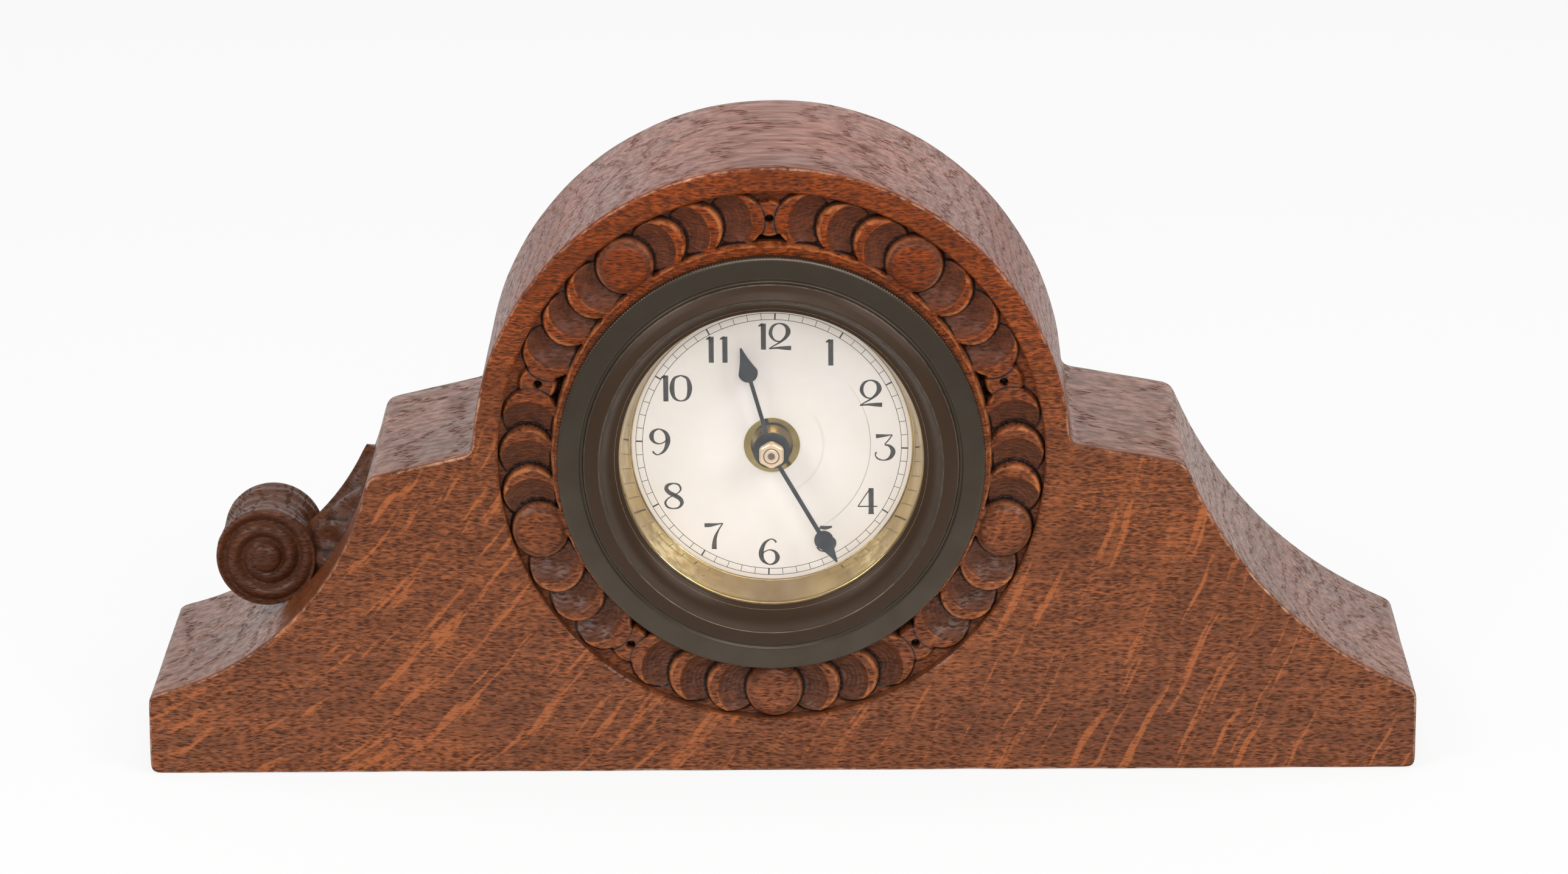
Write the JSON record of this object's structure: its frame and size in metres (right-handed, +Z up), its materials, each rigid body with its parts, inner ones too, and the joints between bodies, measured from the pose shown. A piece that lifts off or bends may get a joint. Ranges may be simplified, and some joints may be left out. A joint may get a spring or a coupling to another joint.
{
  "type": "shelf clock",
  "caption": "Oak shelf clock with a round drum top, swept shoulders, a carved ring round the dial and a key-wound balance movement with hour and minute hands.",
  "frame": {"origin": "middle of the oak case's base face, where it stands", "axes": "+X to the viewer's right along the case, +Y from the dial to the back, +Z up"},
  "size_m": [0.336, 0.0887, 0.165],
  "materials": {
    "oak": "waxed quarter-sawn oak, stained red-brown",
    "carved_oak": "waxed carved oak",
    "bronze": "dark patinated, milled edge",
    "glass": "clear flat",
    "silvered_dial": "matt silvered with black numerals",
    "blued_steel": "blued",
    "aged_brass": "lacquered, aged",
    "brass": "brushed",
    "steel": "polished"
  },
  "bodies": {
    "case": {"case_body": "oak", "shoulder_carving": "carved_oak", "drum_can": "brass", "fixing_screws": "steel", "bezel": "bronze", "glass": "glass", "sight_ring": "aged_brass", "dial_sheet": "silvered_dial", "dial_plate": "brass", "dial_eyelet": "aged_brass", "dial_feet": "brass", "front_plate": "brass", "back_plate": "brass", "pillars": "brass", "cover_posts": "brass", "pillar_screws": "steel", "cover_screws": "steel", "back_cover": "brass", "minute_stud": "steel", "hairspring": "steel", "hairspring_stud": "steel", "click_screw": "steel", "click_spring": "steel"},
    "minute_hand": {"centre_arbor": "steel", "cannon_pinion": "steel", "minute_hand": "blued_steel", "hand_nut": "aged_brass", "set_knob": "brass"},
    "hour_hand": {"hour_wheel": "brass", "hour_hand": "blued_steel"},
    "minute_wheel": {"minute_wheel": "brass"},
    "winding": {"barrel_arbor": "steel", "ratchet_wheel": "steel", "winding_key": "brass"},
    "barrel": {"barrel": "brass", "barrel_cap": "brass", "mainspring": "steel"},
    "centre_wheel": {"centre_wheel": "brass", "centre_pinion": "steel"},
    "third_wheel": {"third_wheel": "brass", "third_arbor": "steel"},
    "fourth_wheel": {"fourth_wheel": "brass", "fourth_arbor": "steel"},
    "escape_wheel": {"escape_wheel": "brass", "escape_arbor": "steel"},
    "lever": {"pallet_lever": "steel"},
    "balance": {"balance_wheel": "brass", "balance_staff": "steel"},
    "click": {"click": "steel"},
    "regulator": {"regulator": "brass"}
  },
  "joints": [
    {"name": "minute_hand_turn", "type": "hinge", "parent": "case", "child": "minute_hand", "pos_m": [-0.0022, -0.0352, 0.0865], "axis": [0, 1, 0], "continuous": true},
    {"name": "hour_hand_turn", "type": "hinge", "parent": "case", "child": "hour_hand", "pos_m": [-0.0022, -0.0323, 0.0865], "axis": [0, 1, 0], "continuous": true},
    {"name": "minute_wheel_turn", "type": "hinge", "parent": "case", "child": "minute_wheel", "pos_m": [0.0038, -0.0185, 0.09689], "axis": [0, 1, 0], "continuous": true},
    {"name": "winding_turn", "type": "hinge", "parent": "case", "child": "winding", "pos_m": [-0.0022, 0.0196, 0.06627], "axis": [0, 1, 0], "continuous": true},
    {"name": "fourth_wheel_turn", "type": "hinge", "parent": "case", "child": "fourth_wheel", "pos_m": [0.00449, -0.0079, 0.10371], "axis": [0, 1, 0], "continuous": true},
    {"name": "third_wheel_turn", "type": "hinge", "parent": "case", "child": "third_wheel", "pos_m": [0.01027, -0.0079, 0.0937], "axis": [0, 1, 0], "continuous": true},
    {"name": "centre_wheel_turn", "type": "hinge", "parent": "case", "child": "centre_wheel", "pos_m": [-0.0022, -0.0079, 0.0865], "axis": [0, 1, 0], "continuous": true},
    {"name": "barrel_turn", "type": "hinge", "parent": "case", "child": "barrel", "pos_m": [-0.0022, -0.0079, 0.06627], "axis": [0, 1, 0], "continuous": true},
    {"name": "escape_wheel_turn", "type": "hinge", "parent": "case", "child": "escape_wheel", "pos_m": [-0.00591, -0.0079, 0.10188], "axis": [0, 1, 0], "continuous": true},
    {"name": "lever_rock", "type": "hinge", "parent": "case", "child": "lever", "pos_m": [-0.01379, -0.0079, 0.10049], "axis": [0, 1, 0], "range_deg": [-4, 4]},
    {"name": "balance_swing", "type": "hinge", "parent": "case", "child": "balance", "pos_m": [-0.02265, -0.0079, 0.09893], "axis": [0, 1, 0], "range_deg": [-135, 135], "stiffness_Nm_per_rad": 0.00002},
    {"name": "click_lift", "type": "hinge", "parent": "case", "child": "click", "pos_m": [0.00698, 0.0046, 0.05985], "axis": [0, 1, 0], "range_deg": [0, 10], "stiffness_Nm_per_rad": 0.0002, "springref_deg": -10, "deforming": ["click_spring"]},
    {"name": "regulator_turn", "type": "hinge", "parent": "case", "child": "regulator", "pos_m": [-0.02265, 0.0027, 0.09893], "axis": [0, 1, 0], "range_deg": [-18, 18]}
  ],
  "couplings": [
    {"joint": "hour_hand_turn", "follows": "minute_hand_turn", "ratio": 0.083333},
    {"joint": "minute_wheel_turn", "follows": "minute_hand_turn", "ratio": -0.33333},
    {"joint": "third_wheel_turn", "follows": "fourth_wheel_turn", "ratio": -0.13333},
    {"joint": "centre_wheel_turn", "follows": "fourth_wheel_turn", "ratio": 0.016667},
    {"joint": "barrel_turn", "follows": "fourth_wheel_turn", "ratio": -0.0027778},
    {"joint": "escape_wheel_turn", "follows": "fourth_wheel_turn", "ratio": -10}
  ]
}
